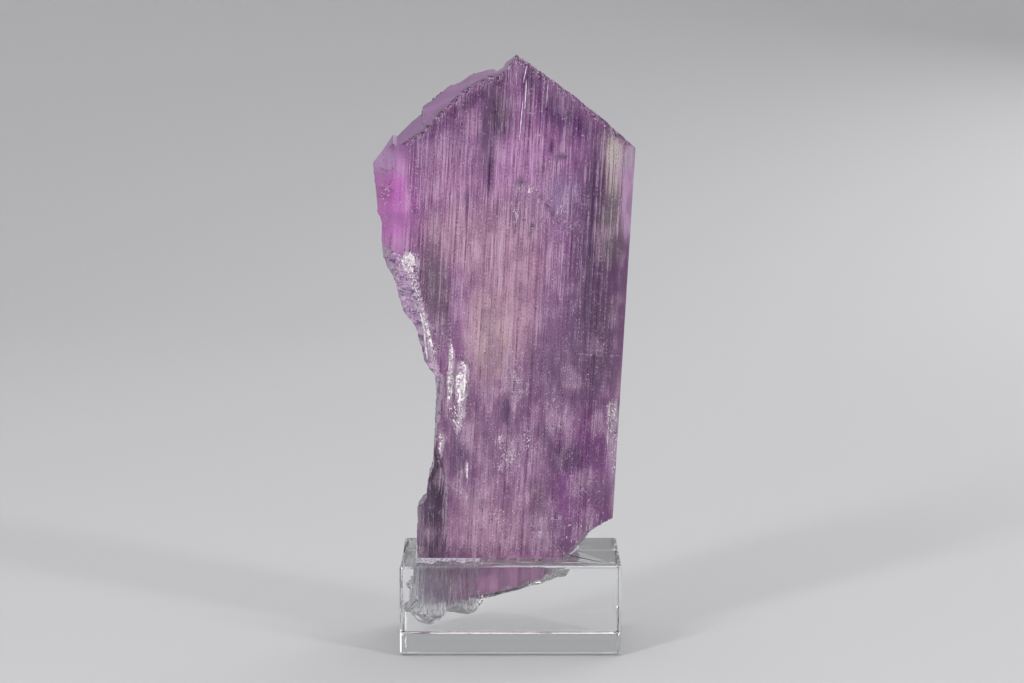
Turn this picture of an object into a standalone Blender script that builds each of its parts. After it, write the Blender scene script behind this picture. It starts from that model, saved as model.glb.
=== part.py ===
"""A kunzite crystal standing in a carved block of clear acrylic. Metres, +Z up.

The crystal is a flattened spodumene prism: a broad striated front and back, narrow prism faces at the
sides, a slanted striated tip and a broken lower end. Its long axis leans a little to the right. The block
has a socket cut to the broken end. The front of the crystal faces -Y.
"""

import math
import random

import bmesh
import bpy
from mathutils import Vector, noise

# The whole crystal
THICKNESS = 0.022
LEAN = math.radians(3.3)
LEAN_HEIGHT = 0.085
PRISM_BOTTOM = 0.004
PRISM_TOP = 0.172

# Corners of the cross-section at LEAN_HEIGHT, as (x, y)
FRONT_LEFT = (-0.0296, -THICKNESS / 2)
FRONT_RIGHT = (0.0310, -THICKNESS / 2)
RIGHT_FRONT_EDGE = (0.0338, -0.0080)
RIGHT_BACK_EDGE = (0.0338, 0.0010)
BACK_RIGHT = (0.0238, THICKNESS / 2)
BACK_LEFT = (-0.0275, THICKNESS / 2)
LEFT_EDGE = (-0.0400, -0.0010)

# Growth striations on the broad faces: the largest and smallest ridge, groove and depth
RIDGE_WIDTH = (0.0007, 0.0026)
GROOVE_WIDTH = (0.0003, 0.0011)
GROOVE_DEPTH = (0.00010, 0.00045)
GROOVE_SLOPE = 0.00015

# The edge of the crystal, clockwise from its tip as seen from the front. Each row is a point on the back
# face and the point of the front face that belongs to it: back x, back z, front x, front z.
TIP_RIGHT = [
    (0.0037, 0.1668, 0.0036, 0.1672),
    (0.0204, 0.1548, 0.0200, 0.1554),
    (0.0294, 0.1475, 0.0290, 0.1482),
    (0.0440, 0.1340, 0.0440, 0.1345),
]
LOWER_RIGHT_BREAK = [
    (0.0440, 0.0420, 0.0440, 0.0445),
    (0.0310, 0.0335, 0.0310, 0.0365),
    (0.0269, 0.0303, 0.0269, 0.0342),
    (0.0252, 0.0294, 0.0245, 0.0328),
    (0.0243, 0.0278, 0.0222, 0.0305),
    (0.0223, 0.0252, 0.0172, 0.0250),
]
BOTTOM_BREAK = [
    (0.0150, 0.0212, 0.0100, 0.0193),
    (0.0080, 0.0172, 0.0018, 0.0166),
    (0.0000, 0.0148, -0.0050, 0.0150),
    (-0.0080, 0.0128, -0.0110, 0.0133),
    (-0.0150, 0.0115, -0.0170, 0.0115),
    (-0.0205, 0.0108, -0.0205, 0.0105),
    (-0.0245, 0.0135, -0.0240, 0.0130),
]
LOWER_LEFT_BREAK = [
    (-0.0248, 0.0230, -0.0248, 0.0230),
    (-0.0248, 0.0376, -0.0248, 0.0376),
    (-0.0236, 0.0396, -0.0236, 0.0396),
    (-0.0217, 0.0413, -0.0217, 0.0413),
    (-0.0218, 0.0462, -0.0216, 0.0462),
    (-0.0206, 0.0500, -0.0200, 0.0500),
    (-0.0202, 0.0553, -0.0194, 0.0553),
]
LEFT_BREAK = [
    (-0.0196, 0.0666, -0.0185, 0.0660),
    (-0.0193, 0.0712, -0.0175, 0.0705),
    (-0.0197, 0.0755, -0.0170, 0.0750),
    (-0.0224, 0.0801, -0.0190, 0.0805),
    (-0.0244, 0.0861, -0.0205, 0.0870),
    (-0.0258, 0.0907, -0.0218, 0.0926),
    (-0.0286, 0.0942, -0.0228, 0.0985),
    (-0.0318, 0.1046, -0.0240, 0.1047),
    (-0.0338, 0.1096, -0.0285, 0.1110),
]
UPPER_LEFT_BREAK = [
    (-0.0346, 0.1140, -0.0346, 0.1140),
    (-0.0347, 0.1197, -0.0347, 0.1197),
    (-0.0358, 0.1229, -0.0358, 0.1229),
    (-0.0367, 0.1327, -0.0367, 0.1327),
]
TIP_LEFT = [
    (-0.0368, 0.1374, -0.0371, 0.1354),
    (-0.0314, 0.1454, -0.0310, 0.1411),
    (-0.0303, 0.1446, -0.0300, 0.1404),
    (-0.0256, 0.1484, -0.0255, 0.1440),
    (-0.0236, 0.1497, -0.0225, 0.1453),
    (-0.0234, 0.1517, -0.0220, 0.1462),
    (-0.0157, 0.1580, -0.0165, 0.1520),
    (-0.0130, 0.1586, -0.0133, 0.1550),
    (-0.0090, 0.1612, -0.0100, 0.1580),
    (-0.0046, 0.1625, -0.0050, 0.1606),
    (-0.0025, 0.1626, -0.0025, 0.1614),
    (-0.0019, 0.1619, -0.0015, 0.1616),
    (0.0001, 0.1632, 0.0003, 0.1627),
    (0.0004, 0.1643, 0.0010, 0.1635),
    (0.0029, 0.1660, 0.0026, 0.1658),
]

# Each stretch of the edge with how rough it is, and the share of the thickness, from the front, over
# which the front edge runs out to the back one
EDGE_STRETCHES = [
    (TIP_RIGHT, 0.0, 1.0),
    (LOWER_RIGHT_BREAK, 0.0007, 1.0),
    (BOTTOM_BREAK, 0.0008, 1.0),
    (LOWER_LEFT_BREAK, 0.0005, 1.0),
    (LEFT_BREAK, 0.0011, 0.5),
    (UPPER_LEFT_BREAK, 0.0005, 1.0),
    (TIP_LEFT, 0.0, 1.0),
]
BREAK_SPACING = 0.0025
BREAK_GRAIN = (0.0035, 0.0030, 0.0065)
EDGE_OVERRUN = 0.0015
EDGE_ROWS = 12

# The thin ledge at the lower left, where the front of the crystal has broken away: points of the broken
# edge on the front face as (x, z), and the depth of the ledge behind the front face
LEDGE_EDGE = [
    (-0.0160, 0.0040),
    (-0.0166, 0.0244),
    (-0.0166, 0.0344),
    (-0.0165, 0.0453),
    (-0.0185, 0.0530),
    (-0.0215, 0.0600),
]
LEDGE_DEPTH = 0.0075
LEDGE_GRAIN = (0.0025, 0.0025, 0.0070)
LEDGE_RELIEF = 0.0007
LEDGE_OUTER_X = -0.0300
LEDGE_COLUMNS = 6
LEDGE_ROWS = 24

# Chips knocked out of the front and the right edge: centre and half sizes
CHIPS = [
    ((-0.0149, -0.0114, 0.0765), (0.0009, 0.0010, 0.0065)),
    ((-0.0118, -0.0115, 0.0735), (0.0017, 0.0014, 0.0085)),
    ((-0.0130, -0.0114, 0.0630), (0.0016, 0.0009, 0.0028)),
    ((-0.0258, -0.0118, 0.1078), (0.0024, 0.0018, 0.0042)),
    ((-0.0188, -0.0112, 0.0560), (0.0014, 0.0016, 0.0030)),
    ((0.0330, -0.0112, 0.0580), (0.0022, 0.0020, 0.0110)),
    ((0.0120, 0.0116, 0.0900), (0.0030, 0.0013, 0.0120)),
    ((-0.0150, 0.0116, 0.1150), (0.0040, 0.0014, 0.0080)),
]
CHIP_RELIEF = 0.25

# The block
BLOCK_WIDTH = 0.062
BLOCK_DEPTH = 0.050
BLOCK_HEIGHT = 0.025
BLOCK_CENTRE_X = 0.0020
BLOCK_BEVEL = 0.0008
BLOCK_BEVEL_SEGMENTS = 3
SOCKET_GAP = 0.0004

# The lumpy bowl that the carver cut under the lowest corner of the crystal: centre and half sizes
BOWL_CENTRE = (-0.0205, -0.0010, 0.0145)
BOWL_SIZE = (0.0062, 0.0105, 0.0068)
BOWL_RELIEF = 0.12

# How the uneven surfaces are worked out
STRIATION_SEED = 11
NOISE_OFFSETS = (11.3, 37.9, 71.1)
LUMP_SUBDIVISIONS = 3
LUMP_GRAIN = 1.7
MILLIMETRES = 1000
LONGEST_MITRE = 1.5

# Materials
CRYSTAL_COLOUR = (0.50, 0.26, 0.46, 1.0)
CRYSTAL_ROUGHNESS = 0.25
BASE_COLOUR = (0.93, 0.95, 0.96, 1.0)
BASE_ROUGHNESS = 0.05


def clear_scene():
    for obj in list(bpy.data.objects):
        bpy.data.objects.remove(obj)


def rough_shift(point, grain, size):
    """An uneven shift that changes smoothly from place to place, up to about the size given."""
    place = Vector(part / length for part, length in zip(point, grain))
    parts = (noise.noise(place + Vector((offset, 0, 0))) for offset in NOISE_OFFSETS)
    return Vector(parts) * size


def material(name, colour, roughness):
    made = bpy.data.materials.new(name)
    made.use_nodes = True
    shader = made.node_tree.nodes["Principled BSDF"]
    shader.inputs["Base Color"].default_value = colour
    shader.inputs["Roughness"].default_value = roughness
    shader.inputs["Metallic"].default_value = 0.0
    made.diffuse_color = colour
    return made


def finished(mesh, name):
    """The bmesh as a scene object, with its faces turned outwards."""
    bmesh.ops.recalc_face_normals(mesh, faces=mesh.faces)
    data = bpy.data.meshes.new(name)
    mesh.to_mesh(data)
    mesh.free()
    obj = bpy.data.objects.new(name, data)
    bpy.context.collection.objects.link(obj)
    return obj


def as_guide(obj):
    obj.hide_render = True
    obj.display_type = "WIRE"
    return obj


def boolean(obj, other, operation):
    modifier = obj.modifiers.new(f"{operation.lower()} {other.name}", "BOOLEAN")
    modifier.operation = operation
    modifier.object = other


def striations(start, end, face_y, rng):
    """Points along a broad face from start to end, with grooves sunk into it, as (x, y)."""
    step = 1 if end > start else -1
    inward = -math.copysign(1, face_y)
    x = start + step * rng.uniform(*RIDGE_WIDTH)
    points = []
    while abs(end - x) > RIDGE_WIDTH[1] + GROOVE_WIDTH[1]:
        groove = rng.uniform(*GROOVE_WIDTH)
        floor = face_y + inward * rng.uniform(*GROOVE_DEPTH)
        points.append((x, face_y))
        points.append((x + step * GROOVE_SLOPE, floor))
        points.append((x + step * (GROOVE_SLOPE + groove), floor))
        points.append((x + step * (2 * GROOVE_SLOPE + groove), face_y))
        x += step * (2 * GROOVE_SLOPE + groove + rng.uniform(*RIDGE_WIDTH))
    return points


def striated_section(rng):
    section = [FRONT_LEFT]
    section += striations(FRONT_LEFT[0], FRONT_RIGHT[0], FRONT_LEFT[1], rng)
    section += [FRONT_RIGHT, RIGHT_FRONT_EDGE, RIGHT_BACK_EDGE, BACK_RIGHT]
    section += striations(BACK_RIGHT[0], BACK_LEFT[0], BACK_RIGHT[1], rng)
    section += [BACK_LEFT, LEFT_EDGE]
    return section


def widened_section(gap):
    """The plain cross-section moved outwards by the gap on every side."""
    corners = [
        FRONT_LEFT,
        FRONT_RIGHT,
        RIGHT_FRONT_EDGE,
        RIGHT_BACK_EDGE,
        BACK_RIGHT,
        BACK_LEFT,
        LEFT_EDGE,
    ]
    return [(x, z) for x, z in offset_ring([Vector((x, 0, y)) for x, y in corners], gap)]


def leaning_prism(name, section):
    """The cross-section drawn out along the crystal's leaning axis."""
    mesh = bmesh.new()
    drift = math.tan(LEAN)
    low_x = (PRISM_BOTTOM - LEAN_HEIGHT) * drift
    corners = [mesh.verts.new((x + low_x, y, PRISM_BOTTOM)) for x, y in section]
    face = mesh.faces.new(corners)
    height = PRISM_TOP - PRISM_BOTTOM
    drawn = bmesh.ops.extrude_face_region(mesh, geom=[face])["geom"]
    moved = [item for item in drawn if isinstance(item, bmesh.types.BMVert)]
    bmesh.ops.translate(mesh, verts=moved, vec=(height * drift, 0, height))
    return finished(mesh, name)


def edge_stations():
    """The crystal's edge in small steps: back point, front point, roughness and reach of each."""
    rows = []
    for stretch, roughness, reach in EDGE_STRETCHES:
        rows += [(Vector(row[:2]), Vector(row[2:]), roughness, reach) for row in stretch]
    stations = []
    for here, following in zip(rows, rows[1:] + rows[:1]):
        steps = 1
        if here[2]:
            steps = max(1, round((following[0] - here[0]).length / BREAK_SPACING))
        for step in range(steps):
            share = step / steps
            back = here[0].lerp(following[0], share)
            front = here[1].lerp(following[1], share)
            stations.append((back, front, here[2], here[3]))
    return stations


def offset_ring(ring, distance):
    """A ring of points in one XZ plane, moved outwards, as (x, z). The ring may run either way round."""
    count = len(ring)
    area = sum(
        ring[i].x * ring[(i + 1) % count].z - ring[(i + 1) % count].x * ring[i].z
        for i in range(count)
    )
    side = math.copysign(1, area)
    moved = []
    for i, point in enumerate(ring):
        before = (point - ring[i - 1]).normalized()
        after = (ring[(i + 1) % count] - point).normalized()
        first = Vector((before.z, 0, -before.x)) * side
        second = Vector((after.z, 0, -after.x)) * side
        middle = (first + second).normalized()
        stretch = 1 / max(middle.dot(first), 1 / LONGEST_MITRE)
        place = point + middle * distance * stretch
        moved.append((place.x, place.z))
    return moved


def edge_rings(gap):
    """The crystal's edge at each depth through the crystal, from front to back."""
    stations = edge_stations()
    rings = []
    depth = THICKNESS + 2 * EDGE_OVERRUN
    for row in range(EDGE_ROWS):
        y = -depth / 2 + depth * row / (EDGE_ROWS - 1)
        through = (y + THICKNESS / 2) / THICKNESS
        ring = []
        for back, front, roughness, reach in stations:
            share = min(through / reach, 1.0)
            flat = front.lerp(back, share)
            point = Vector((flat.x, y, flat.y))
            shift = rough_shift(point, BREAK_GRAIN, roughness)
            ring.append(point + Vector((shift.x, 0, shift.z)))
        if gap:
            ring = [Vector((x, y, z)) for x, z in offset_ring(ring, gap)]
        rings.append(ring)
    return rings


def lofted(name, rings):
    """A closed body through rings that have the same number of points."""
    mesh = bmesh.new()
    rows = [[mesh.verts.new(point) for point in ring] for ring in rings]
    count = len(rows[0])
    for near, far in zip(rows, rows[1:]):
        for i in range(count):
            j = (i + 1) % count
            mesh.faces.new((near[i], near[j], far[j], far[i]))
    mesh.faces.new(rows[0])
    mesh.faces.new(rows[-1])
    return finished(mesh, name)


def ledge_cutter():
    """What has broken away in front of the thin ledge: a block with a rough back."""
    mesh = bmesh.new()
    bmesh.ops.create_grid(mesh, x_segments=LEDGE_COLUMNS, y_segments=LEDGE_ROWS, size=0.5)
    bottom = LEDGE_EDGE[0][1]
    top = LEDGE_EDGE[-1][1]
    for vert in mesh.verts:
        z = bottom + (vert.co.y + 0.5) * (top - bottom)
        x = LEDGE_OUTER_X + (vert.co.x + 0.5) * (ledge_x(z) - LEDGE_OUTER_X)
        y = -THICKNESS / 2 + LEDGE_DEPTH
        shift = rough_shift(Vector((x, y, z)), LEDGE_GRAIN, LEDGE_RELIEF)
        vert.co = (x + shift.x, y + shift.y, z)
    drawn = bmesh.ops.extrude_face_region(mesh, geom=mesh.faces[:])["geom"]
    for vert in (item for item in drawn if isinstance(item, bmesh.types.BMVert)):
        vert.co.y = -THICKNESS / 2 - EDGE_OVERRUN
    return as_guide(finished(mesh, "ledge cutter"))


def ledge_x(z):
    """Where the broken edge of the front face is at a height."""
    for (x_low, z_low), (x_high, z_high) in zip(LEDGE_EDGE, LEDGE_EDGE[1:]):
        if z <= z_high:
            return x_low + (x_high - x_low) * (z - z_low) / (z_high - z_low)
    return LEDGE_EDGE[-1][0]


def lump(mesh, centre, half_sizes, relief):
    """Adds an uneven ball, whose points are moved in and out by a share of its size."""
    made = bmesh.ops.create_icosphere(mesh, subdivisions=LUMP_SUBDIVISIONS, radius=1.0)
    for vert in made["verts"]:
        seed = vert.co * LUMP_GRAIN + Vector(centre) * MILLIMETRES
        vert.co *= 1 + relief * noise.noise(seed)
        scaled = (part * size for part, size in zip(vert.co, half_sizes))
        vert.co = Vector(scaled) + Vector(centre)


def chip_cutter():
    mesh = bmesh.new()
    for centre, half_sizes in CHIPS:
        lump(mesh, centre, half_sizes, CHIP_RELIEF)
    return as_guide(finished(mesh, "chip cutter"))


def bowl_cutter():
    mesh = bmesh.new()
    lump(mesh, BOWL_CENTRE, BOWL_SIZE, BOWL_RELIEF)
    return as_guide(finished(mesh, "bowl cutter"))


def make_crystal():
    rng = random.Random(STRIATION_SEED)
    crystal = leaning_prism("crystal", striated_section(rng))
    outline = as_guide(lofted("edge guide", edge_rings(0)))
    boolean(crystal, outline, "INTERSECT")
    boolean(crystal, ledge_cutter(), "DIFFERENCE")
    boolean(crystal, chip_cutter(), "DIFFERENCE")
    crystal.data.materials.append(material("kunzite", CRYSTAL_COLOUR, CRYSTAL_ROUGHNESS))


def make_base():
    mesh = bmesh.new()
    bmesh.ops.create_cube(mesh, size=1)
    bmesh.ops.scale(mesh, verts=mesh.verts, vec=(BLOCK_WIDTH, BLOCK_DEPTH, BLOCK_HEIGHT))
    bmesh.ops.translate(mesh, verts=mesh.verts, vec=(BLOCK_CENTRE_X, 0, BLOCK_HEIGHT / 2))
    base = finished(mesh, "base")
    bevel = base.modifiers.new("polished edges", "BEVEL")
    bevel.width = BLOCK_BEVEL
    bevel.segments = BLOCK_BEVEL_SEGMENTS
    socket = as_guide(leaning_prism("socket cutter", widened_section(SOCKET_GAP)))
    outline = as_guide(lofted("socket edge guide", edge_rings(SOCKET_GAP)))
    boolean(socket, outline, "INTERSECT")
    boolean(base, socket, "DIFFERENCE")
    boolean(base, bowl_cutter(), "DIFFERENCE")
    base.data.materials.append(material("acrylic", BASE_COLOUR, BASE_ROUGHNESS))


clear_scene()
make_crystal()
make_base()
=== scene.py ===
"""A kunzite crystal standing in a carved block of clear acrylic: its looks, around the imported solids.

Metres, +Z up, the crystal's broad front facing -Y. The crystal's long axis leans a little to the right.
"""

import math
import random

import bmesh
import bpy
import numpy as np
from mathutils import Euler, Matrix, Vector, noise
from mathutils.bvhtree import BVHTree


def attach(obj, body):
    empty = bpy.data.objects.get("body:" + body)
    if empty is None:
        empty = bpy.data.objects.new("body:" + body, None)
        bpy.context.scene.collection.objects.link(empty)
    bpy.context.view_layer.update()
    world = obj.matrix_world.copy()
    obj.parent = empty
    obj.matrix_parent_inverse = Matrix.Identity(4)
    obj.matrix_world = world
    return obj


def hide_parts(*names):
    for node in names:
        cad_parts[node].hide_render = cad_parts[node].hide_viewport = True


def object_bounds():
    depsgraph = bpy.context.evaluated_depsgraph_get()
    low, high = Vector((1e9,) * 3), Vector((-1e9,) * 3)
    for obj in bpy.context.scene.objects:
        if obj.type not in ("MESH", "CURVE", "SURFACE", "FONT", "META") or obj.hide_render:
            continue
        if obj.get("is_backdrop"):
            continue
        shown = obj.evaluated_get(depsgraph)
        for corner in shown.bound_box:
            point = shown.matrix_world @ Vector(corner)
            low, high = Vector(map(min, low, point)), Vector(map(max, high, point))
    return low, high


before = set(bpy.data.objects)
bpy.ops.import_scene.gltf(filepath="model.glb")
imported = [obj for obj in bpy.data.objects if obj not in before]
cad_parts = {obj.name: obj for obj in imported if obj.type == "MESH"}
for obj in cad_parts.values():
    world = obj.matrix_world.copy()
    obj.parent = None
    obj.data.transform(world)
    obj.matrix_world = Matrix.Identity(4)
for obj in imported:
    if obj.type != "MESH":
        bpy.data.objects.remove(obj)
cad_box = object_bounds()

# The view. The photograph was taken a little from above with a long lens, square on to the broad face.
# The camera looks down six degrees at the middle of the crystal, from about a metre away.
AIM = Vector((0.00236, 0.0, 0.0854))
DISTANCE = 0.970
LOOK_DOWN = math.radians(6.0)
camera_data = bpy.data.cameras.new("camera")
camera_data.lens = 120
camera_data.sensor_width = 36
camera = bpy.data.objects.new("camera", camera_data)
camera.location = AIM + DISTANCE * Vector((0, -math.cos(LOOK_DOWN), math.sin(LOOK_DOWN)))
camera.rotation_euler = (math.pi / 2 - LOOK_DOWN, 0, 0)
bpy.context.scene.collection.objects.link(camera)
bpy.context.scene.camera = camera

# The table. A plain pale round floor that curves up into a plain wall on every side, turned as one
# profile, so that no edge or corner shows behind or through the clear pieces.
FLOOR_RADIUS = 0.9
SWEEP_RADIUS = 1.5
WALL_HEIGHT = 2.6
SWEEP_STEPS = 24
FLOOR_SIDES = 96
FLOOR_LEVEL = -0.0004
PAPER_COLOUR = (0.50, 0.50, 0.51, 1)
sweep = bmesh.new()
profile = [Vector((0, 0, FLOOR_LEVEL)), Vector((FLOOR_RADIUS, 0, FLOOR_LEVEL))]
for step in range(1, SWEEP_STEPS + 1):
    turn = math.pi / 2 * step / SWEEP_STEPS
    out = FLOOR_RADIUS + SWEEP_RADIUS * math.sin(turn)
    profile.append(Vector((out, 0, FLOOR_LEVEL + SWEEP_RADIUS * (1 - math.cos(turn)))))
profile.append(Vector((FLOOR_RADIUS + SWEEP_RADIUS, 0, WALL_HEIGHT)))
corners = [sweep.verts.new(point) for point in profile]
sides = [sweep.edges.new(pair) for pair in zip(corners, corners[1:])]
bmesh.ops.spin(
    sweep,
    geom=corners + sides,
    cent=(0, 0, 0),
    axis=(0, 0, 1),
    angle=math.tau,
    steps=FLOOR_SIDES,
    use_merge=True,
)
bmesh.ops.remove_doubles(sweep, verts=sweep.verts, dist=0.0001)
bmesh.ops.recalc_face_normals(sweep, faces=sweep.faces)
for face in sweep.faces:
    face.smooth = True
floor_mesh = bpy.data.meshes.new("floor")
sweep.to_mesh(floor_mesh)
sweep.free()
floor = bpy.data.objects.new("floor", floor_mesh)
bpy.context.scene.collection.objects.link(floor)
paper = bpy.data.materials.new("pale paper")
paper.use_nodes = True
paper_shader = paper.node_tree.nodes["Principled BSDF"]
paper_shader.inputs["Base Color"].default_value = PAPER_COLOUR
paper_shader.inputs["Roughness"].default_value = 0.9
floor.data.materials.append(paper)
floor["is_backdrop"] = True

# The light. Large soft panels: one high at the left front, one at the right, a strong one behind at the
# right that shines through the crystal, and one overhead. Each is aimed at the crystal's middle, and is
# given by its name, place, width and height, and power.
PANELS = [
    ("left panel", (-0.70, -1.05, 0.60), (0.15, 0.9), 8.5),
    ("right panel", (0.85, -0.85, 0.45), (0.12, 0.9), 6.5),
    ("back panel", (0.65, 1.05, 0.65), (0.9, 0.9), 5.0),
    ("top panel", (0.0, 0.1, 1.4), (0.8, 0.8), 4.0),
]
for name, place, size, power in PANELS:
    lamp = bpy.data.lights.new(name, "AREA")
    lamp.shape = "RECTANGLE"
    lamp.size, lamp.size_y = size
    lamp.energy = power
    panel = bpy.data.objects.new(name, lamp)
    panel.location = place
    panel.rotation_euler = (AIM - Vector(place)).to_track_quat("-Z", "Y").to_euler()
    bpy.context.scene.collection.objects.link(panel)
world = bpy.data.worlds.new("room")
world.use_nodes = True
world.node_tree.nodes["Background"].inputs["Color"].default_value = (1, 1, 1, 1)
world.node_tree.nodes["Background"].inputs["Strength"].default_value = 0.9
bpy.context.scene.world = world
bpy.context.scene.view_settings.view_transform = "Standard"

# The crystal. One kunzite, grown as a flattened prism and broken at its lower end and left side. Its broad
# faces carry fine striations along its length, its tip is etched into small teeth, and the breaks are
# hackly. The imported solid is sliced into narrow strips, which are then pressed in by uneven amounts.
LEAN = math.radians(3.3)
ALONG = Vector((math.sin(LEAN), 0, math.cos(LEAN)))
ACROSS = Vector((math.cos(LEAN), 0, -math.sin(LEAN)))
LEAN_CENTRE = Vector((0, 0, 0.085))
HALF_THICKNESS = 0.011
MERGED_POINTS = 0.000002
FLAT_ANGLE = math.radians(0.3)
ON_THE_CUT = 0.0000005

# How the kinds of surface are told apart: by height, and by which way a face points
BROAD, PRISM, TIP, BROKEN, LEDGE = range(5)
DEEPEST_GROOVE = 0.0007
BROAD_LEAN = 0.02
PRISM_LEAN = 0.004
PRISM_LOW = 0.030
TIP_LOW = 0.128
TIP_FACING_UP = 0.3
LEDGE_HEIGHTS = (0.020, 0.062)
LEDGE_RIGHT = -0.0140
LEDGE_FACING_FRONT = 0.7

# The strips and rows that the solid is sliced into: where they start and end, and how wide each is
SLICED_ACROSS = (-0.042, 0.036)
STRIP_WIDTH = (0.00028, 0.00060)
SLICED_ALONG = (0.012, 0.166)
ROW_HEIGHT = (0.0016, 0.0024)
SLICED_BREAKS = (0.0105, 0.130)
BREAK_STEP = 0.0011
SIDE_STEP = 0.0009
SIDEWAYS = 0.9

# How deep each kind of surface is pressed in, and the width and length of its unevenness
STRIATION_DEPTH = 0.00030
FINE_GROOVES = (0.00033, 0.030)
MEDIUM_GROOVES = (0.0016, 0.060)
GROOVED_AREAS = (0.009, 0.060)
STEP_WIDTH = 0.0043
PRISM_DEPTH = 0.00010
PRISM_GROOVES = (0.0007, 0.060)
TIP_DEPTH = 0.00012
TIP_WAVES = (0.004, 0.008)
TEETH_DEPTH = 0.00070
TEETH = (0.0006, 0.004)
TEETH_REACH = 0.0022
TEETH_LEFT_OF = 0.002
TEETH_ON_THE_RIGHT = 0.45
BREAK_DEPTH = 0.00070
SPLINTERS = (0.0016, 0.0012, 0.0045)
BREAK_GRAIN = 0.0008

# Etch pits on the front: middle as x and z, half width, half height and depth
PITS = [
    ((0.0034, 0.1262), 0.0008, 0.0060, 0.0005),
    ((0.0052, 0.1310), 0.0016, 0.0012, 0.0004),
    ((0.0157, 0.1255), 0.0010, 0.0035, 0.0004),
    ((0.0080, 0.1195), 0.0006, 0.0016, 0.0004),
    ((-0.0008, 0.0600), 0.0016, 0.0026, 0.0005),
    ((-0.0013, 0.0530), 0.0022, 0.0030, 0.0005),
    ((0.0160, 0.0640), 0.0014, 0.0034, 0.0004),
    ((0.0280, 0.0400), 0.0010, 0.0030, 0.0005),
    ((0.0035, 0.0735), 0.0030, 0.0018, 0.0003),
]

rng = random.Random(23)
stone = bmesh.new()
stone.from_mesh(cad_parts["crystal"].data)
bmesh.ops.remove_doubles(stone, verts=stone.verts, dist=MERGED_POINTS)
bmesh.ops.dissolve_limit(stone, angle_limit=FLAT_ANGLE, verts=stone.verts, edges=stone.edges)


def kind_of(face):
    """Which surface of the crystal a face belongs to: broad, prism, tip, broken or the ledge's."""
    normal = face.normal
    centre = face.calc_center_median()
    if abs(centre.y) > HALF_THICKNESS - DEEPEST_GROOVE and abs(normal.dot(ALONG)) < BROAD_LEAN:
        return BROAD
    if centre.z > TIP_LOW and normal.z > TIP_FACING_UP:
        return TIP
    if abs(normal.dot(ALONG)) < PRISM_LEAN and centre.z > PRISM_LOW:
        return PRISM
    beside_the_ledge = centre.x < LEDGE_RIGHT and LEDGE_HEIGHTS[0] < centre.z < LEDGE_HEIGHTS[1]
    if normal.y < -LEDGE_FACING_FRONT and beside_the_ledge:
        return LEDGE
    return BROKEN


kind_layer = stone.faces.layers.int.new("kind")
for face in stone.faces:
    face[kind_layer] = kind_of(face)


def slice_through(geometry, place, normal):
    bmesh.ops.bisect_plane(stone, geom=geometry, dist=ON_THE_CUT, plane_co=place, plane_no=normal)


def parts_of(faces):
    """The faces with their edges and corners, each once."""
    edges = {edge for face in faces for edge in face.edges}
    verts = {vert for face in faces for vert in face.verts}
    return list(verts) + list(edges) + list(faces)


height = SLICED_BREAKS[0]
while height < SLICED_BREAKS[1]:
    breaks = [face for face in stone.faces if face[kind_layer] == BROKEN]
    slice_through(parts_of(breaks), Vector((0, 0, height)), Vector((0, 0, 1)))
    height += BREAK_STEP
depth = -HALF_THICKNESS + SIDE_STEP
while depth < HALF_THICKNESS:
    sides = [face for face in stone.faces if face[kind_layer] != BROAD and abs(face.normal.y) < SIDEWAYS]
    slice_through(parts_of(sides), Vector((0, depth, 0)), Vector((0, 1, 0)))
    depth += SIDE_STEP
across = SLICED_ACROSS[0]
while across < SLICED_ACROSS[1]:
    everything = stone.verts[:] + stone.edges[:] + stone.faces[:]
    slice_through(everything, LEAN_CENTRE + ACROSS * across, ACROSS)
    across += rng.uniform(*STRIP_WIDTH)
height = SLICED_ALONG[0]
while height < SLICED_ALONG[1]:
    everything = stone.verts[:] + stone.edges[:] + stone.faces[:]
    slice_through(everything, LEAN_CENTRE + ALONG * (height - LEAN_CENTRE.z), ALONG)
    height += rng.uniform(*ROW_HEIGHT)
bmesh.ops.triangulate(stone, faces=[face for face in stone.faces if len(face.verts) > 4])


def ripple(across, along, seed, width, length):
    """An uneven value from 0 to 1 that changes over the width and, more slowly, over the length."""
    value = noise.noise(Vector((across / width, seed, along / length)))
    return min(max(0.5 + value, 0.0), 1.0)


def groove_depth(place, across, along):
    """How far a point of a broad face is pressed in: the front and the back have seeds of their own."""
    side = 3.1 if place.y < 0 else 9.7
    strength = 0.25 + 0.75 * ripple(across, along, side + 1, *GROOVED_AREAS)
    fine = ripple(across, along, side + 2, *FINE_GROOVES)
    medium = ripple(across, along, side + 3, *MEDIUM_GROOVES)
    wander = 0.35 * noise.noise(Vector((side, 0, along / 0.03)))
    steps = noise.cell(Vector((across / STEP_WIDTH + wander, side, 0)))
    total = STRIATION_DEPTH * strength * (0.5 * fine + 0.3 * medium + 0.2 * steps)
    if place.y < 0:
        for (x, z), half_width, half_height, deepest in PITS:
            away = ((place.x - x) / half_width) ** 2 + ((place.z - z) / half_height) ** 2
            if away < 1:
                total += deepest * (1 - away) * (0.6 + 0.8 * fine)
    return total


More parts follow.
